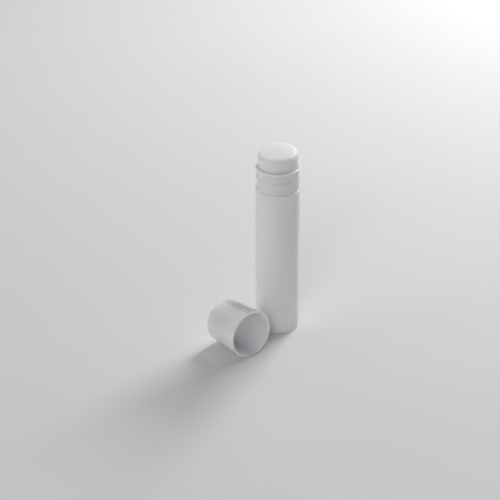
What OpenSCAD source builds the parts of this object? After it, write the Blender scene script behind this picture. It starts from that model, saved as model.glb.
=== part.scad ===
// Lip balm stick with a twist-up foot, standing open with its cap lying beside it.
// The origin is on the barrel's axis at the table, +Z points up, and the cap's mouth looks along -Y.

/* [Barrel] */
// Outside diameter of the barrel, and of the dial's foot below it
barrel_d = 16; // [14:0.5:20]
// Height of the shoulder above the table
shoulder_h = 56.2; // [48:0.2:70]
// Thickness of the barrel's wall
barrel_wall = 0.75; // [0.65:0.05:1]
// Rounding of the barrel's edge at the shoulder
shoulder_edge = 0.15; // [0.1:0.05:0.25]

/* [Neck] */
// Height of the neck from the shoulder to the rim
neck_h = 8.3; // [7:0.1:12]
// Set-in of the neck from the barrel's side
neck_step = 0.3; // [0.2:0.05:0.35]
// How far the lip at the rim stands out from the neck
lip_out = 0.25; // [0.15:0.05:0.3]
// Height of the lip
lip_h = 1.1; // [0.9:0.1:1.6]
// Rounding of the rim's outer edge
rim_edge = 0.3; // [0.2:0.05:0.35]
// Number of snap ribs around the neck
snap_count = 4; // [2:1:6]
// Arc that each snap rib covers, in degrees
snap_arc = 48; // [20:2:56]
// Height of the snap ribs' middle above the shoulder
snap_up = 4.2; // [3:0.1:5]
// How far the snap ribs stand out from the neck
snap_out = 0.2; // [0.1:0.05:0.2]
// Height of a snap rib
snap_h = 0.6; // [0.4:0.1:0.9]
// Direction of the first snap rib's middle, in degrees from +X
snap_turn = 239; // [0:1:359]

/* [Guide ribs] */
// Number of guide ribs down the bore
guide_count = 4; // [2:1:6]
// Width of a guide rib
guide_w = 1.2; // [0.8:0.1:2]
// How far a guide rib stands into the bore
guide_out = 0.4; // [0.25:0.05:0.5]
// Distance of the guide ribs' top below the shoulder
guide_drop = 2.2; // [1:0.1:6]

/* [Dial] */
// Height of the dial's foot
foot_h = 1.2; // [1:0.1:4]
// Rounding of the foot's lower edge
foot_edge = 0.4; // [0.2:0.1:0.8]
// Height of the hub above the foot
hub_h = 4.2; // [3.5:0.1:8]
// Thickness of the hub's ring
hub_wall = 1; // [0.7:0.1:1.6]
// How far the hub's snap bead stands out
bead_out = 0.2; // [0.1:0.05:0.25]
// Height of the hub's snap bead
bead_h = 0.8; // [0.6:0.1:1.2]
// Diameter of the spindle over its thread
spindle_d = 4.4; // [3.4:0.1:5.4]
// Depth of the spindle's tip below the rim
spindle_drop = 8; // [6:0.5:16]
// Radius of the blend at the spindle's root
root_blend = 0.8; // [0.4:0.1:1.2]
// Bevel of the spindle's tip
tip_bevel = 0.6; // [0.3:0.1:1]

/* [Carrier] */
// Thickness of the carrier's floor
floor_t = 1.2; // [0.8:0.1:2]
// Height of the carrier's skirt above its floor
skirt_h = 3.5; // [2:0.1:6]
// Thickness of the carrier's skirt
skirt_wall = 0.8; // [0.75:0.05:1.4]
// Height of the nut above the carrier's floor
nut_h = 6; // [4:0.1:9]
// Thickness of the nut's wall
nut_wall = 1.2; // [0.8:0.1:1.8]
// How far the carrier is wound up from its lowest place
wound_up = 6.4; // [0:0.1:8]

/* [Balm] */
// Height of the balm's middle above the rim
balm_out = 6.1; // [2:0.1:8]
// Rounding of the balm's top edge
balm_edge = 1.7; // [0.5:0.1:3]
// Rise of the balm's top from its rounding to its middle
balm_crown = 0.4; // [0.05:0.05:0.6]
// Slant of the balm's top, in degrees
balm_slant = 6; // [0:0.5:10]
// Direction towards which the balm's top falls, in degrees from the +X axis
slant_turn = 205; // [0:5:355]

/* [Cap] */
// Thickness of the cap's wall at its mouth
cap_wall = 0.75; // [0.6:0.05:1.2]
// Height of the cap above the rim when it is on
cap_head = 7.4; // [6:0.1:14]
// Thickness of the cap's closed end
cap_end_t = 0.9; // [0.7:0.1:1.6]
// Decrease of the cap's radius from the mouth to the closed end
cap_taper = 0.73; // [0.2:0.01:0.8]
// Rounding of the cap's edge at the closed end
cap_edge = 0.45; // [0.2:0.05:0.6]
// Rounding of the cap's edge at the mouth
mouth_edge = 0.15; // [0.1:0.05:0.25]
// Height of the snap bead inside the cap
cap_bead_h = 0.6; // [0.4:0.1:0.9]
// Gap between the barrel and the cap that lies beside it
cap_aside = 5.05; // [1:0.05:30]
// Distance of the cap's mouth in front of the barrel's axis
cap_forward = 11.2; // [-10:0.1:30]

/* [Clearances] */
// Radial clearance of what turns: the hub in the bore and the spindle in the nut
turn_gap = 0.05; // [0.03:0.01:0.1]
// Radial clearance of what slides in the bore: the carrier and the balm
slide_gap = 0.1; // [0.05:0.01:0.15]
// Height of the seam between the foot and the barrel
seam_gap = 0.1; // [0.05:0.01:0.2]
// Clearance around the guide ribs
guide_gap = 0.15; // [0.1:0.01:0.2]
// Clearance between the snap beads and what they catch behind
snap_gap = 0.1; // [0.05:0.01:0.15]
// Radial clearance between the neck's lip and the cap
cap_gap = 0.05; // [0.03:0.01:0.1]
// Clearance of the balm's head at the closed end of the cap, to which the cap's inside narrows
well_gap = 0.22; // [0.15:0.01:0.3]
// Distance between the hub and the carrier in its lowest place
park_gap = 0.3; // [0.2:0.1:1]
// Clearance of the balm around the spindle
core_gap = 0.4; // [0.2:0.05:0.8]
// Film between the balm and the upright walls of the carrier
cast_gap = 0.02; // [0.01:0.01:0.05]

/* [Hidden] */
$fn = 96;
edge_steps = 6;
cut_over = 1;
mould_over = 0.05;

plastic = "whitesmoke";
inner_plastic = "gainsboro";
wax = "snow";

// Heights above the table
rim_h = shoulder_h + neck_h;
barrel_low = foot_h + seam_gap;
hub_top = foot_h + hub_h;
bead_mid = foot_h + hub_h / 2;
spindle_top = rim_h - spindle_drop;
carrier_low = hub_top + park_gap + wound_up;
floor_top = carrier_low + floor_t;
skirt_top = floor_top + skirt_h;
nut_top = floor_top + nut_h;
core_top = spindle_top + wound_up + core_gap;
guide_low = hub_top + park_gap;
guide_top = shoulder_h - guide_drop;

// Radii
barrel_r = barrel_d / 2;
bore_r = barrel_r - barrel_wall;
neck_r = barrel_r - neck_step;
lip_r = neck_r + lip_out;
hub_r = bore_r - turn_gap;
bead_r = hub_r + bead_out;
groove_r = bead_r + snap_gap;
guide_r = bore_r - guide_out;
spindle_r = spindle_d / 2;
nut_bore_r = spindle_r + turn_gap;
nut_r = nut_bore_r + nut_wall;
core_r = spindle_r + core_gap;
slide_r = bore_r - slide_gap;
skirt_r = slide_r - skirt_wall;

// The cap, along its own axis from the mouth
cap_l = neck_h + cap_head;
cap_bore_r = lip_r + cap_gap;
mouth_r = cap_bore_r + cap_wall;
end_r = mouth_r - cap_taper;
well_r = slide_r + well_gap;
well_low = neck_h + snap_gap;
cap_bead_r = neck_r + snap_gap;
cap_bead_top = snap_up - snap_h / 2 - snap_gap;
cap_lean = atan(cap_taper / cap_l);

// Points along a round edge about centre c, from angle a to angle b
function round_edge(c, r, a, b) =
    [for (i = [0 : edge_steps])
        let (turn = a + (b - a) * i / edge_steps) c + r * [cos(turn), sin(turn)]];

// The balm's top is a shallow dome with a round edge. It leans about the middle of its edge.
head_mid = rim_h + balm_out - balm_crown - balm_edge;
head_high = rim_h + balm_out + slide_r * tan(balm_slant) + cut_over;
crown_r = slide_r / cos(balm_slant) + mould_over - balm_edge;
function crown() =
    [for (i = [0 : edge_steps - 1])
        [crown_r * i / edge_steps, balm_edge + balm_crown * (1 - pow(i / edge_steps, 2))]];

// Everything above that dome, out past the balm's side
module above_head() {
    far = 2 * slide_r;
    outline = concat([[0, far]], crown(), round_edge([crown_r, 0], balm_edge, 90, 0), [[far, 0], [far, far]]);
    translate([0, 0, head_mid])
        rotate([0, balm_slant, slant_turn])
            rotate_extrude() polygon(outline);
}

// A bar for each guide rib, from radius r out to radius r_out
module guides(r, r_out, w, low, top) {
    for (i = [0 : guide_count - 1])
        rotate([0, 0, i * 360 / guide_count])
            translate([r, -w / 2, low])
                cube([r_out - r, w, top - low]);
}

// Room for the guide ribs in what slides between them
module guide_notches(low, top) {
    guides(guide_r - guide_gap, barrel_r, guide_w + 2 * guide_gap, low, top);
}

module barrel() {
    outline = concat(
        [[barrel_r, barrel_low]],
        round_edge([barrel_r - shoulder_edge, shoulder_h - shoulder_edge], shoulder_edge, 0, 90),
        [[neck_r, shoulder_h],
         [neck_r, rim_h - lip_h],
         [lip_r, rim_h - lip_h + lip_out]],
        round_edge([lip_r - rim_edge, rim_h - rim_edge], rim_edge, 0, 90),
        [[bore_r, rim_h],
         [bore_r, bead_mid + bead_h / 2 + snap_gap],
         [groove_r, bead_mid],
         [bore_r, bead_mid - bead_h / 2 - snap_gap],
         [bore_r, barrel_low]]
    );
    color(plastic) {
        rotate_extrude() polygon(outline);
        guides(guide_r, (bore_r + barrel_r) / 2, guide_w, guide_low, guide_top);
        snap_ribs();
    }
}

// Low ribs that the cap's bead catches behind
module snap_ribs() {
    inside = (bore_r + neck_r) / 2;
    face = neck_r + snap_out;
    for (i = [0 : snap_count - 1])
        rotate([0, 0, snap_turn - snap_arc / 2 + i * 360 / snap_count])
            translate([0, 0, shoulder_h + snap_up])
                rotate_extrude(angle = snap_arc)
                    polygon([[inside, -snap_h / 2], [neck_r, -snap_h / 2], [face, -snap_h / 6],
                             [face, snap_h / 6], [neck_r, snap_h / 2], [inside, snap_h / 2]]);
}

// The foot, the hub and the spindle are one moulding
module dial() {
    outline = concat(
        [[0, 0]],
        round_edge([barrel_r - foot_edge, foot_edge], foot_edge, -90, 0),
        [[barrel_r, foot_h],
         [hub_r, foot_h],
         [hub_r, bead_mid - bead_h / 2],
         [bead_r, bead_mid],
         [hub_r, bead_mid + bead_h / 2],
         [hub_r, hub_top],
         [hub_r - hub_wall, hub_top],
         [hub_r - hub_wall, foot_h]],
        round_edge([spindle_r + root_blend, foot_h + root_blend], root_blend, 270, 180),
        [[spindle_r, spindle_top - tip_bevel],
         [spindle_r - tip_bevel, spindle_top],
         [0, spindle_top]]
    );
    color(inner_plastic) rotate_extrude() polygon(outline);
}

// A cup with a nut in its middle, notched for the guide ribs
module carrier() {
    outline = [
        [nut_bore_r, carrier_low],
        [slide_r, carrier_low],
        [slide_r, skirt_top],
        [skirt_r, skirt_top],
        [skirt_r, floor_top],
        [nut_r, floor_top],
        [nut_r, nut_top],
        [nut_bore_r, nut_top]
    ];
    color(inner_plastic) difference() {
        rotate_extrude() polygon(outline);
        guide_notches(carrier_low - cut_over, skirt_top + cut_over);
    }
}

// Cast into the carrier, around the spindle and between the guide ribs
module balm() {
    outline = [
        [nut_r + cast_gap, floor_top],
        [skirt_r - cast_gap, floor_top],
        [skirt_r - cast_gap, skirt_top],
        [slide_r, skirt_top],
        [slide_r, head_high],
        [0, head_high],
        [0, core_top],
        [core_r, core_top],
        [core_r, nut_top],
        [nut_r + cast_gap, nut_top]
    ];
    color(wax) difference() {
        rotate_extrude() polygon(outline);
        guide_notches(skirt_top, guide_top + wound_up + guide_gap);
        above_head();
    }
}

// The cap along its own axis, with its mouth at the bottom
module cap_shell() {
    outline = concat(
        round_edge([mouth_r - mouth_edge, mouth_edge], mouth_edge, -90, 0),
        round_edge([end_r - cap_edge, cap_l - cap_edge], cap_edge, 0, 90),
        [[0, cap_l],
         [0, cap_l - cap_end_t],
         [well_r, cap_l - cap_end_t],
         [cap_bore_r, well_low],
         [cap_bore_r, cap_bead_top],
         [cap_bead_r, cap_bead_top - cap_bead_h / 2],
         [cap_bore_r, cap_bead_top - cap_bead_h],
         [cap_bore_r, 0]]
    );
    rotate_extrude() polygon(outline);
}

// The cap lies on its tapered side, with its mouth towards -Y
module cap() {
    color(plastic)
        translate([-(barrel_r + cap_aside + mouth_r), -cap_forward, mouth_r * cos(cap_lean)])
            rotate([-90 - cap_lean, 0, 0])
                cap_shell();
}

barrel();
dial();
carrier();
balm();
cap();
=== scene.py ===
from math import atan, cos, exp, pi, radians, sin, tan, tau

import bmesh
import bpy
from mathutils import Matrix, Vector, noise


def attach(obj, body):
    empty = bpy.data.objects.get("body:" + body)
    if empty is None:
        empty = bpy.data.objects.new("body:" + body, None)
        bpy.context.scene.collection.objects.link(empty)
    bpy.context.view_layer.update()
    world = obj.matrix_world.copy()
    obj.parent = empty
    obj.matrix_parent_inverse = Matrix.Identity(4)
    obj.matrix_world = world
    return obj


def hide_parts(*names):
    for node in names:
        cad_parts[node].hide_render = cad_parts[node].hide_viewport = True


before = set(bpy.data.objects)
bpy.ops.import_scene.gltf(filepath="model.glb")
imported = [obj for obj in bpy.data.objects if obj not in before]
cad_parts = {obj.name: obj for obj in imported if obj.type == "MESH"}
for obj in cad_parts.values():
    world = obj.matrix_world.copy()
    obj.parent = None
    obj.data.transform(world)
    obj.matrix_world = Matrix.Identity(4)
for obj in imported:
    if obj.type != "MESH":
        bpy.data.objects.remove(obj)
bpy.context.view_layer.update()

mm = 0.001  # the sizes below are in millimetres, and the meshes in metres

# Sizes of the tube that several pieces fit
tube = {
    "radius": 8.0,
    "bore": 7.25,
    "slide": 7.15,  # radius of what runs in the bore
    "shoulder": 56.2,
    "rim": 64.5,
    "footTop": 1.2,
    "hubTop": 5.4,
    "parkGap": 0.3,  # from the hub to the guide ribs
    "beadMiddle": 3.3,
    "guideCount": 4,
    "guideWidth": 1.2,
    "guideDepth": 0.4,
    "guideTop": 54.0,
    "guideGap": 0.15,
}

# The thread on the spindle, which the nut repeats
thread = {
    "pitch": 3.0,  # rise in one turn
    "crest": 2.2,
    "root": 1.72,
    "crestShare": 0.26,  # share of the pitch that is flat crest
    "flankShare": 0.16,  # share of the pitch that each flank takes
    "ringStep": 0.2,
}

sharpAngle = 38  # degrees, above which an edge is shaded as sharp


def arc(centreR, centreZ, radius, start, end, steps=6):
    points = []
    for i in range(steps + 1):
        a = radians(start + (end - start) * i / steps)
        points.append((centreR + radius * cos(a), centreZ + radius * sin(a)))
    return points


def climb(radius, low, high, step):
    # points straight up or down a wall, without its two ends
    count = max(1, round(abs(high - low) / step))
    return [(radius, low + (high - low) * i / count) for i in range(1, count)]


def turned(name, outline, columns, form=None, joinEnds=True):
    # turns an outline of (radius, height) points into a mesh
    # form(angle, radius, height, index) gives a point's own radius and height
    bm = bmesh.new()
    rings = []
    for index, (r, z) in enumerate(outline):
        if r == 0:
            rings.append([bm.verts.new((0, 0, z * mm))])
            continue
        ring = []
        for column in range(columns):
            a = tau * column / columns
            rr, zz = form(a, r, z, index) if form else (r, z)
            ring.append(bm.verts.new((rr * cos(a) * mm, rr * sin(a) * mm, zz * mm)))
        rings.append(ring)
    pairs = list(zip(rings, rings[1:]))
    if joinEnds:
        pairs.append((rings[-1], rings[0]))
    for one, two in pairs:
        if len(one) == 1 and len(two) == 1:
            continue  # the inside and the outside meet the axis apart
        for column in range(columns):
            after = (column + 1) % columns
            if len(one) == 1:
                bm.faces.new((one[0], two[after], two[column]))
            elif len(two) == 1:
                bm.faces.new((one[column], one[after], two[0]))
            else:
                bm.faces.new((one[column], one[after], two[after], two[column]))
    bmesh.ops.recalc_face_normals(bm, faces=bm.faces)
    mesh = bpy.data.meshes.new(name)
    bm.to_mesh(mesh)
    bm.free()
    mesh.shade_smooth()
    mesh.set_sharp_from_angle(angle=radians(sharpAngle))
    piece = bpy.data.objects.new(name, mesh)
    bpy.context.scene.collection.objects.link(piece)
    return piece


def keepFlats(piece):
    # large faces keep their own direction, so only the narrow rounded ones look round
    weighting = piece.modifiers.new("flats", "WEIGHTED_NORMAL")
    weighting.keep_sharp = True
    weighting.weight = 90


def dress(piece, body, slot, material, *nodes):
    piece.data.materials.append(material)
    keepFlats(piece)
    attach(piece, body)
    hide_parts(*nodes)


def smooth(t):
    t = min(1.0, max(0.0, t))
    return t * t * (3 - 2 * t)


def angleFrom(a, middle):
    # signed difference of two angles, from -pi to pi
    return (a - middle + pi) % tau - pi


def inGuide(a, radius, gap):
    # whether an angle lies within the width of a guide rib
    across = angleFrom(a * tube["guideCount"], 0) / tube["guideCount"]
    return abs(across) * radius < tube["guideWidth"] / 2 + gap


def threadRadius(a, z):
    phase = (z / thread["pitch"] - a / tau) % 1.0
    fromCrest = abs(phase - 0.5)
    down = (fromCrest - thread["crestShare"] / 2) / thread["flankShare"]
    return thread["crest"] + (thread["root"] - thread["crest"]) * min(1.0, max(0.0, down))


def node(tree, kind, place, **settings):
    made = tree.nodes.new(kind)
    made.location = place
    for key, value in settings.items():
        setattr(made, key, value)
    return made


def noiseNode(tree, coords, place, size, detail=3.0, rough=0.5):
    # size is how wide one patch of the noise is, in millimetres
    made = node(tree, "ShaderNodeTexNoise", place)
    made.inputs["Scale"].default_value = 1 / (size * mm)
    made.inputs["Detail"].default_value = detail
    made.inputs["Roughness"].default_value = rough
    tree.links.new(coords, made.inputs["Vector"])
    return made.outputs["Fac"]


def spread(tree, source, place, low, high, fromLow=0.3, fromHigh=0.7):
    # maps the middle of a noise onto low to high
    made = node(tree, "ShaderNodeMapRange", place)
    made.inputs["From Min"].default_value = fromLow
    made.inputs["From Max"].default_value = fromHigh
    made.inputs["To Min"].default_value = low
    made.inputs["To Max"].default_value = high
    tree.links.new(source, made.inputs["Value"])
    return made.outputs["Result"]


def blendColours(tree, source, place, colours):
    made = node(tree, "ShaderNodeValToRGB", place)
    elements = made.color_ramp.elements
    elements[0].position = 0.32
    elements[0].color = (*colours[0], 1)
    elements[1].position = 0.68
    elements[1].color = (*colours[1], 1)
    tree.links.new(source, made.inputs["Fac"])
    return made.outputs["Color"]


def bump(tree, height, place, depth, normal=None):
    # depth is how high the relief stands, in millimetres
    made = node(tree, "ShaderNodeBump", place)
    made.inputs["Strength"].default_value = 1.0
    made.inputs["Distance"].default_value = depth * mm
    tree.links.new(height, made.inputs["Height"])
    if normal:
        tree.links.new(normal, made.inputs["Normal"])
    return made.outputs["Normal"]


def newMaterial(name):
    material = bpy.data.materials.new(name)
    material.use_nodes = True
    tree = material.node_tree
    shader = tree.nodes["Principled BSDF"]
    coords = node(tree, "ShaderNodeTexCoord", (-1200, 0)).outputs["Object"]
    return material, tree, shader, coords


waveTurn = 20  # radians that the wave texture advances in one unit at a scale of 1


# Glossy white moulded plastic, with the fine rings that a turned and polished mould leaves
def mouldedPlastic(name, look):
    material, tree, shader, coords = newMaterial(name)
    shader.inputs["IOR"].default_value = look["ior"]
    shader.inputs["Subsurface Weight"].default_value = look["depthOfWhite"]
    shader.inputs["Subsurface Radius"].default_value = (1.0, 0.95, 0.9)
    shader.inputs["Subsurface Scale"].default_value = look["glowReach"] * mm

    flow = noiseNode(tree, coords, (-900, 300), look["flowSize"], detail=2.0)
    colour = blendColours(tree, flow, (-600, 300), look["whites"])
    tree.links.new(colour, shader.inputs["Base Color"])

    handling = noiseNode(tree, coords, (-900, 0), look["handlingSize"], detail=5.0, rough=0.6)
    rough = spread(tree, handling, (-600, 0), *look["roughness"])
    tree.links.new(rough, shader.inputs["Roughness"])

    along = look["ringAxis"]
    rings = node(tree, "ShaderNodeTexWave", (-900, -250), wave_type="BANDS", bands_direction=along)
    rings.inputs["Scale"].default_value = tau / (waveTurn * look["ringSpacing"] * mm)
    rings.inputs["Distortion"].default_value = 1.5
    rings.inputs["Detail"].default_value = 2.0
    tree.links.new(coords, rings.inputs["Vector"])
    skin = noiseNode(tree, coords, (-900, -500), look["skinSize"])
    relief = bump(tree, rings.outputs["Fac"], (-600, -250), look["ringDepth"])
    relief = bump(tree, skin, (-300, -250), look["skinDepth"], relief)
    tree.links.new(relief, shader.inputs["Normal"])
    return material


# Cast wax: soft and slightly uneven, with a low sheen
def castWax(name, look):
    material, tree, shader, coords = newMaterial(name)
    shader.inputs["IOR"].default_value = look["ior"]
    shader.inputs["Subsurface Weight"].default_value = look["depthOfWhite"]
    shader.inputs["Subsurface Radius"].default_value = (1.0, 0.85, 0.7)
    shader.inputs["Subsurface Scale"].default_value = look["glowReach"] * mm

    clouds = noiseNode(tree, coords, (-900, 300), look["cloudSize"], detail=4.0, rough=0.6)
    colour = blendColours(tree, clouds, (-600, 300), look["whites"])
    tree.links.new(colour, shader.inputs["Base Color"])

    sweat = noiseNode(tree, coords, (-900, 0), look["sweatSize"], detail=4.0, rough=0.6)
    rough = spread(tree, sweat, (-600, 0), *look["roughness"])
    tree.links.new(rough, shader.inputs["Roughness"])

    waves = noiseNode(tree, coords, (-900, -250), look["waveSize"], detail=2.0)
    grain = noiseNode(tree, coords, (-900, -500), look["grainSize"], detail=4.0, rough=0.65)
    relief = bump(tree, waves, (-600, -250), look["waveDepth"])
    relief = bump(tree, grain, (-300, -250), look["grainDepth"], relief)
    tree.links.new(relief, shader.inputs["Normal"])
    return material


barrelShape = {
    "columns": 288,
    "neckRadius": 7.7,
    "lipRadius": 7.95,
    "lipHeight": 1.1,
    "rimEdge": 0.3,
    "rimInnerEdge": 0.12,
    "shoulderEdge": 0.15,
    "footEdge": 0.1,
    "neckFoot": 0.1,  # height of the ring that keeps the neck's foot crisp
    "snapUp": 4.2,
    "snapHeight": 0.6,
    "snapOut": 0.2,
    "snapCount": 4,
    "snapArc": 48,  # degrees
    "snapTurn": 239,  # degrees from +X to the middle of one rib
    "snapEnd": 2.5,  # degrees over which a snap rib runs out
    "seam": 0.1,
    "grooveRadius": 7.5,
    "grooveHalf": 0.5,
    "guideEnd": 0.05,  # height over which a guide rib ends
    "boreEdge": 0.05,
}


def snapShare(a):
    # 1 on a snap rib, falling to 0 past its ends
    apart = tau / barrelShape["snapCount"]
    fromMiddle = abs((a - radians(barrelShape["snapTurn"]) + apart / 2) % apart - apart / 2)
    toEnd = radians(barrelShape["snapArc"] / 2) - fromMiddle
    return smooth(toEnd / radians(barrelShape["snapEnd"]) + 0.5)


def makeBarrel(material):
    b = barrelShape
    low = tube["footTop"] + b["seam"]
    rim = tube["rim"]
    radius, bore, shoulder, neck = tube["radius"], tube["bore"], tube["shoulder"], b["neckRadius"]
    edge = b["footEdge"]
    outside = arc(radius - edge, low + edge, edge, -90, 0, steps=4)
    outside += climb(radius, low + edge, shoulder - b["shoulderEdge"], step=6)
    edge = b["shoulderEdge"]
    outside += arc(radius - edge, shoulder - edge, edge, 0, 90, steps=5)
    outside += [(neck, shoulder), (neck, shoulder + b["neckFoot"])]

    snap = shoulder + b["snapUp"]
    snapHalf = b["snapHeight"] / 2
    snapFlat = b["snapHeight"] / 6  # half of the height that a rib's flat face takes
    snapRings = [(neck, snap + rise) for rise in (-snapHalf, -snapFlat, snapFlat, snapHalf)]

    lipLow = rim - b["lipHeight"]
    lip = [(neck, lipLow), (b["lipRadius"], lipLow + b["lipRadius"] - neck)]
    edge = b["rimEdge"]
    top = arc(b["lipRadius"] - edge, rim - edge, edge, 0, 90)
    edge = b["rimInnerEdge"]
    top += arc(bore + edge, rim - edge, edge, 90, 180, steps=4)

    guideLow = tube["hubTop"] + tube["parkGap"]
    inside = [(bore, tube["guideTop"] + b["guideEnd"]), (bore, tube["guideTop"])]
    inside += climb(bore, tube["guideTop"], guideLow, step=6)
    inside += [(bore, guideLow), (bore, guideLow - b["guideEnd"])]
    inside += [(bore, tube["beadMiddle"] + b["grooveHalf"]),
               (b["grooveRadius"], tube["beadMiddle"]),
               (bore, tube["beadMiddle"] - b["grooveHalf"]),
               (bore, low + b["boreEdge"]),
               (bore + b["boreEdge"], low)]

    outline = outside + snapRings + lip + top + inside
    ribRings = (len(outside) + 1, len(outside) + 2)

    def form(a, r, z, index):
        if index in ribRings:
            return r + b["snapOut"] * snapShare(a), z
        onGuide = r == bore and guideLow <= z <= tube["guideTop"]
        if onGuide and inGuide(a, r, 0):
            return r - tube["guideDepth"], z
        return r, z

    piece = turned("barrelShell", outline, b["columns"], form)
    dress(piece, "barrel", "tube_plastic", material, "barrel")


dialShape = {
    "columns": 144,
    "footEdge": 0.4,
    "topEdge": 0.1,
    "hubRadius": 7.2,
    "hubWall": 1.0,
    "hubEdge": 0.15,
    "beadRadius": 7.4,
    "beadHalf": 0.4,
    "rootBlend": 0.8,
    "spindleTop": 56.5,
    "threadLow": 5.5,
    "threadFade": 1.0,  # length over which the thread runs out at both ends
    "tipBevel": 0.5,
    "gateRadius": 1.0,  # the round hollow under the foot, where the mould was filled
    "gateDepth": 0.2,
    "gateEdge": 0.1,
    "gateFloor": 0.85,
    "stubRadius": 0.35,  # what the cut-off sprue left in it
    "stubFoot": 0.45,
    "stubLow": 0.1,
}


def makeDial(material):
    d = dialShape
    foot = tube["footTop"]
    root = thread["root"]
    bead = tube["beadMiddle"]
    outline = [(0, d["stubLow"]), (d["stubRadius"], d["stubLow"])]
    outline += [(d["stubFoot"], d["gateDepth"]), (d["gateFloor"], d["gateDepth"])]
    outline += arc(d["gateRadius"] + d["gateEdge"], d["gateEdge"], d["gateEdge"], 180, 270, steps=3)
    outline += arc(tube["radius"] - d["footEdge"], d["footEdge"], d["footEdge"], -90, 0, steps=8)
    outline += arc(tube["radius"] - d["topEdge"], foot - d["topEdge"], d["topEdge"], 0, 90, steps=4)
    outline += [(d["hubRadius"], foot), (d["hubRadius"], bead - d["beadHalf"]), (d["beadRadius"], bead),
                (d["hubRadius"], bead + d["beadHalf"])]
    edge = d["hubEdge"]
    outline += arc(d["hubRadius"] - edge, tube["hubTop"] - edge, edge, 0, 90, steps=4)
    inner = d["hubRadius"] - d["hubWall"]
    outline += [(inner, tube["hubTop"]), (inner, foot)]
    outline += arc(thread["crest"] + d["rootBlend"], foot + d["rootBlend"], d["rootBlend"], 270, 180)
    start = d["threadLow"] - d["threadFade"]
    outline += [(thread["crest"], start)]
    firstThreaded = len(outline)
    threadHigh = d["spindleTop"] - d["tipBevel"]
    steps = round((threadHigh - start) / thread["ringStep"])
    for i in range(1, steps + 1):
        outline.append((thread["crest"], start + (threadHigh - start) * i / steps))
    lastThreaded = len(outline)
    outline += [(root - d["tipBevel"] / 2, d["spindleTop"]), (0, d["spindleTop"])]

    def form(a, r, z, index):
        if firstThreaded <= index < lastThreaded:
            share = smooth((z - start) / d["threadFade"])
            tip = smooth((threadHigh - z) / d["threadFade"])
            cut = thread["crest"] + (threadRadius(a, z) - thread["crest"]) * share
            return root + (cut - root) * tip, z
        return r, z

    piece = turned("dialTurned", outline, d["columns"], form, joinEnds=False)
    dress(piece, "dial", "dial_plastic", material, "dial")


carrierShape = {
    "columns": 144,
    "low": 12.1,
    "floor": 1.2,
    "skirtHeight": 3.5,
    "skirtWall": 0.8,
    "nutHeight": 6.0,
    "nutWall": 1.2,
    "nutGap": 0.05,
    "threadPlay": 0.15,  # room between the two threads
    "edge": 0.15,
}


def makeCarrier(material):
    c = carrierShape
    floorTop = c["low"] + c["floor"]
    skirtTop = floorTop + c["skirtHeight"]
    nutTop = floorTop + c["nutHeight"]
    nutBore = thread["crest"] + c["nutGap"]
    nutOut = nutBore + c["nutWall"]
    skirtIn = tube["slide"] - c["skirtWall"]
    edge = c["edge"]
    outline = arc(tube["slide"] - edge, c["low"] + edge, edge, -90, 0, steps=3)
    outline += climb(tube["slide"], c["low"] + edge, skirtTop - edge, step=1.5)
    outline += arc(tube["slide"] - edge, skirtTop - edge, edge, 0, 90, steps=3)
    outerCount = len(outline)
    outline += [(skirtIn, skirtTop), (skirtIn, floorTop), (nutOut, floorTop), (nutOut, nutTop)]
    nutStart = len(outline)
    steps = round((nutTop - c["low"]) / thread["ringStep"])
    for i in range(steps + 1):
        outline.append((nutBore, nutTop + (c["low"] - nutTop) * i / steps))

    def form(a, r, z, index):
        if index >= nutStart:
            return threadRadius(a, z) + c["threadPlay"], z
        if index < outerCount and inGuide(a, r, tube["guideGap"]):
            return min(r, tube["bore"] - tube["guideDepth"] - tube["guideGap"]), z
        return r, z

    piece = turned("carrierCup", outline, c["columns"], form)
    dress(piece, "carrier", "carrier_plastic", material, "carrier")


balmShape = {
    "columns": 216,
    "out": 6.1,  # height of the middle above the rim
    "edge": 1.7,
    "crown": 0.4,
    "crownSteps": 14,
    "slant": 6.0,  # degrees
    "slantTurn": 205,  # direction that the top falls towards, in degrees from +X
    "slantStart": 0.3,  # height above the rim where the slant begins to draw the side along
    "coreTop": 63.3,
    "coreRadius": 2.6,
    "film": 0.02,
    "grooveTop": 60.55,
    "grooveEnd": 0.05,  # height over which the guide ribs' grooves end
    "waver": 0.03,  # unevenness of the cast side
    "waverInward": 0.3,  # share of the waver by which the whole side stands back
    "waverSize": 4.0,
    "sink": 0.1,  # hollow in the middle of the top, where the wax shrank last
    "sinkRadius": 2.2,
}


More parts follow.
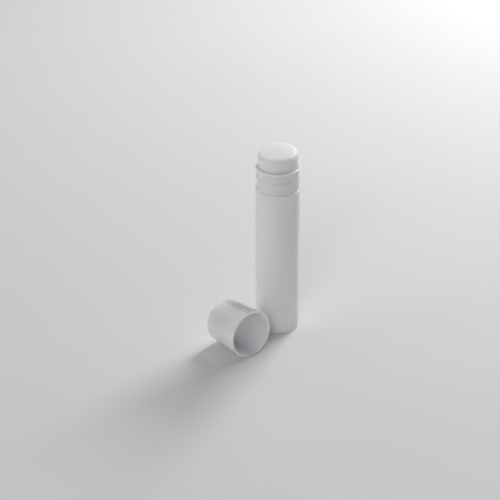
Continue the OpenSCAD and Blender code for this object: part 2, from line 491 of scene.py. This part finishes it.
def makeBalm(material):
    b = balmShape
    c = carrierShape
    top = tube["rim"] + b["out"]
    floorTop = c["low"] + c["floor"]
    skirtTop = floorTop + c["skirtHeight"]
    nutTop = floorTop + c["nutHeight"]
    nutOut = thread["crest"] + c["nutGap"] + c["nutWall"] + b["film"]
    plug = tube["slide"] - c["skirtWall"] - b["film"]
    crownRadius = tube["slide"] - b["edge"]
    crownLow = top - b["crown"]
    outline = [(nutOut, floorTop), (plug, floorTop), (plug, skirtTop)]
    sideStart = len(outline)
    outline += [(tube["slide"], skirtTop)]
    outline += climb(tube["slide"], skirtTop, b["grooveTop"], step=4)
    grooveEnd = b["grooveTop"] + b["grooveEnd"]
    outline += [(tube["slide"], b["grooveTop"]), (tube["slide"], grooveEnd)]
    outline += climb(tube["slide"], grooveEnd, crownLow - b["edge"], step=0.7)
    outline += arc(crownRadius, crownLow - b["edge"], b["edge"], 0, 90, steps=12)
    crownStart = len(outline) - 1
    for i in range(1, b["crownSteps"]):
        share = 1 - i / b["crownSteps"]
        outline.append((crownRadius * share, top - b["crown"] * share * share))
    sideEnd = len(outline)
    outline += [(0, top - b["sink"]), (0, b["coreTop"]), (b["coreRadius"], b["coreTop"])]
    outline += [(b["coreRadius"], nutTop), (nutOut, nutTop)]

    slantLow = tube["rim"] + b["slantStart"]
    slantHigh = crownLow - b["edge"]
    fall = tan(radians(b["slant"]))

    def form(a, r, z, index):
        if not sideStart <= index < sideEnd:
            return r, z
        if z <= b["grooveTop"] and inGuide(a, tube["bore"], tube["guideGap"]):
            return tube["bore"] - tube["guideDepth"] - tube["guideGap"], z
        spot = Vector((r * cos(a), r * sin(a), z)) / b["waverSize"]
        uneven = b["waver"] * noise.noise(spot)
        inward = min(0.0, uneven - b["waver"] * b["waverInward"])
        sink = b["sink"] * exp(-(r / b["sinkRadius"]) ** 2) if index >= crownStart else 0.0
        onTop = smooth((z - slantHigh) / b["edge"])
        slanted = min(1.0, max(0.0, (z - slantLow) / (slantHigh - slantLow)))
        lower = fall * r * cos(a - radians(b["slantTurn"])) * slanted
        return r + inward * (1 - onTop), z + inward * onTop - sink - lower

    piece = turned("balmStick", outline, b["columns"], form)
    dress(piece, "carrier", "balm_wax", material, "balm")


capShape = {
    "columns": 256,
    "mouthRadius": 8.75,
    "endRadius": 8.02,
    "length": 15.7,
    "boreRadius": 8.0,
    "boreDepth": 8.4,
    "boreEdge": 0.12,
    "wellRadius": 7.37,  # to which the inside narrows above the bore
    "wellEdge": 0.3,
    "endThick": 0.9,
    "edge": 0.45,
    "mouthEdge": 0.15,
    "beadRadius": 7.8,
    "beadTop": 3.8,
    "beadHeight": 0.6,
    "gateRadius": 0.8,
    "gateDepth": 0.12,
    "gateEdge": 0.1,
    "gateFloor": 0.64,
    "place": (-21.8, -11.2),  # middle of the mouth
}


def makeCap(material):
    c = capShape
    taper = c["mouthRadius"] - c["endRadius"]
    lean = atan(taper / c["length"])
    well = c["length"] - c["endThick"]
    outline = arc(c["mouthRadius"] - c["mouthEdge"], c["mouthEdge"], c["mouthEdge"], -90, 0, steps=4)
    outline += arc(c["endRadius"] - c["edge"], c["length"] - c["edge"], c["edge"], 0, 90, steps=8)
    edge = c["gateEdge"]
    outline += arc(c["gateRadius"] + edge, c["length"] - edge, edge, 90, 180, steps=3)
    outline += [(c["gateFloor"], c["length"] - c["gateDepth"]), (0, c["length"] - c["gateDepth"])]
    outline += [(0, well)]
    outline += arc(c["wellRadius"] - c["wellEdge"], well - c["wellEdge"], c["wellEdge"], 90, 0, steps=5)
    outline += [(c["boreRadius"], c["boreDepth"]), (c["boreRadius"], c["beadTop"])]
    outline += [(c["beadRadius"], c["beadTop"] - c["beadHeight"] / 2)]
    outline += [(c["boreRadius"], c["beadTop"] - c["beadHeight"])]
    outline += arc(c["boreRadius"] + c["boreEdge"], c["boreEdge"], c["boreEdge"], 180, 270, steps=4)
    piece = turned("capShell", outline, c["columns"])
    x, y = c["place"]
    spot = Matrix.Translation((x * mm, y * mm, c["mouthRadius"] * cos(lean) * mm))
    piece.data.transform(spot @ Matrix.Rotation(-pi / 2 - lean, 4, "X"))
    dress(piece, "barrel", "cap_plastic", material, "cap")


whitePlastic = {
    "ior": 1.49,
    "depthOfWhite": 1.0,
    "glowReach": 0.6,
    "ringAxis": "Z",
    "flowSize": 14,
    "whites": ((0.905, 0.912, 0.92), (0.92, 0.927, 0.935)),
    "handlingSize": 5,
    "roughness": (0.13, 0.19),
    "ringSpacing": 0.0754,
    "ringDepth": 0.0006,
    "skinSize": 0.9,
    "skinDepth": 0.002,
}
capPlastic = dict(whitePlastic, ringAxis="Y", glowReach=2.2)  # thin enough to let light through
innerPlastic = dict(whitePlastic, roughness=(0.38, 0.48), whites=((0.78, 0.78, 0.77), (0.82, 0.82, 0.8)))
balmWax = {
    "ior": 1.44,
    "depthOfWhite": 1.0,
    "glowReach": 2.2,
    "cloudSize": 6,
    "whites": ((0.89, 0.9, 0.905), (0.92, 0.925, 0.925)),
    "sweatSize": 1.5,
    "roughness": (0.38, 0.55),
    "waveSize": 3.0,
    "waveDepth": 0.03,
    "grainSize": 0.35,
    "grainDepth": 0.006,
}

print("materials")
tubeMaterial = mouldedPlastic("tubePlastic", whitePlastic)
capMaterial = mouldedPlastic("capPlastic", capPlastic)
dialMaterial = mouldedPlastic("dialPlastic", whitePlastic)
carrierMaterial = mouldedPlastic("carrierPlastic", innerPlastic)
balmMaterial = castWax("balmWax", balmWax)

print("pieces")
makeBarrel(tubeMaterial)
makeDial(dialMaterial)
makeCarrier(carrierMaterial)
makeBalm(balmMaterial)
makeCap(capMaterial)

room = {
    "floorSize": 3.0,
    "floorSquares": 24,
    "floorColour": (0.735, 0.735, 0.735),
    "floorShade": 1.01,  # how much lighter its lightest patches are
    "patchSize": 60,
    "floorRoughness": 0.7,
    "floorSheen": 0.2,
    "toothSize": 0.5,
    "toothDepth": 0.01,
    "worldColour": (0.97, 0.985, 1.0),
    "worldStrength": 0.19,
}


def makeFloor():
    bm = bmesh.new()
    squares = room["floorSquares"]
    bmesh.ops.create_grid(bm, x_segments=squares, y_segments=squares, size=room["floorSize"] / 2)
    mesh = bpy.data.meshes.new("floorTop")
    bm.to_mesh(mesh)
    bm.free()
    mesh.shade_smooth()
    material, tree, shader, coords = newMaterial("floorPaper")
    shader.inputs["Roughness"].default_value = room["floorRoughness"]
    shader.inputs["Specular IOR Level"].default_value = room["floorSheen"]
    patches = noiseNode(tree, coords, (-900, 300), room["patchSize"], detail=2.0)
    pale = room["floorColour"]
    colour = blendColours(tree, patches, (-600, 300), (pale, tuple(v * room["floorShade"] for v in pale)))
    tree.links.new(colour, shader.inputs["Base Color"])
    tooth = noiseNode(tree, coords, (-900, -250), room["toothSize"])
    tree.links.new(bump(tree, tooth, (-600, -250), room["toothDepth"]), shader.inputs["Normal"])
    floorTop = bpy.data.objects.new("floorTop", mesh)
    floorTop.data.materials.append(material)
    bpy.context.scene.collection.objects.link(floorTop)


def makeWorld():
    world = bpy.data.worlds.new("paleRoom")
    world.use_nodes = True
    background = world.node_tree.nodes["Background"]
    background.inputs["Color"].default_value = (*room["worldColour"], 1)
    background.inputs["Strength"].default_value = room["worldStrength"]
    bpy.context.scene.world = world


# Each lamp: direction in degrees from +X, height in degrees, distance and size in metres, watts
lamps = {
    "windowKey": {"turn": 16, "climb": 40, "away": 0.8, "size": (0.28, 0.28), "watts": 4.15},
    "lowRight": {"turn": 30, "climb": 9, "away": 0.8, "size": (0.3, 0.24), "watts": 0.8},
    "lowLeft": {"turn": 150, "climb": 9, "away": 0.8, "size": (0.3, 0.24), "watts": 1.0},
    "frontFill": {"turn": 218, "climb": 34, "away": 0.8, "size": (0.24, 0.24), "watts": 1.05},
    "overhead": {"turn": 0, "climb": 80, "away": 0.8, "size": (0.1, 0.24), "watts": 0.36},
    "backPanel": {"turn": 87, "climb": 33, "away": 0.8, "size": (0.62, 0.24), "watts": 0.5},
}
lampTint = (0.985, 0.992, 1.0)
lampAim = (0, 0, 0.03)


def makeLamp(name, look):
    turn, rise = radians(look["turn"]), radians(look["climb"])
    out = Vector((cos(turn) * cos(rise), sin(turn) * cos(rise), sin(rise)))
    light = bpy.data.lights.new(name, "AREA")
    light.shape = "RECTANGLE"
    light.size, light.size_y = look["size"]
    light.energy = look["watts"]
    light.color = lampTint
    lamp = bpy.data.objects.new(name, light)
    lamp.location = Vector(lampAim) + out * look["away"]
    lamp.rotation_euler = out.to_track_quat("Z", "Y").to_euler()
    bpy.context.scene.collection.objects.link(lamp)


view = {
    "spot": (-0.29562, -0.34205, 0.26777),
    "turn": 39.57,  # degrees from +Y towards +X
    "down": 27.65,
    "roll": -0.22,
    "lens": 100.8,
}


def makeCamera():
    turn, down, roll = radians(view["turn"]), radians(view["down"]), radians(view["roll"])
    ahead = Vector((sin(turn) * cos(down), cos(turn) * cos(down), -sin(down)))
    level = Vector((cos(turn), -sin(turn), 0))
    over = level.cross(ahead)
    right = level * cos(roll) + over * sin(roll)
    up = over * cos(roll) - level * sin(roll)
    data = bpy.data.cameras.new("camera")
    data.sensor_width = 36
    data.lens = view["lens"]
    data.clip_start = 0.01
    camera = bpy.data.objects.new("camera", data)
    facing = Matrix((right, up, -ahead)).transposed().to_4x4()
    camera.matrix_world = Matrix.Translation(view["spot"]) @ facing
    bpy.context.scene.collection.objects.link(camera)
    bpy.context.scene.camera = camera


print("floor, light and camera")
makeFloor()
makeWorld()
for lampName, lampLook in lamps.items():
    makeLamp(lampName, lampLook)
makeCamera()
bpy.context.scene.cycles.diffuse_bounces = 12  # light goes round many times inside the white cap
bpy.context.scene.view_settings.view_transform = "Standard"
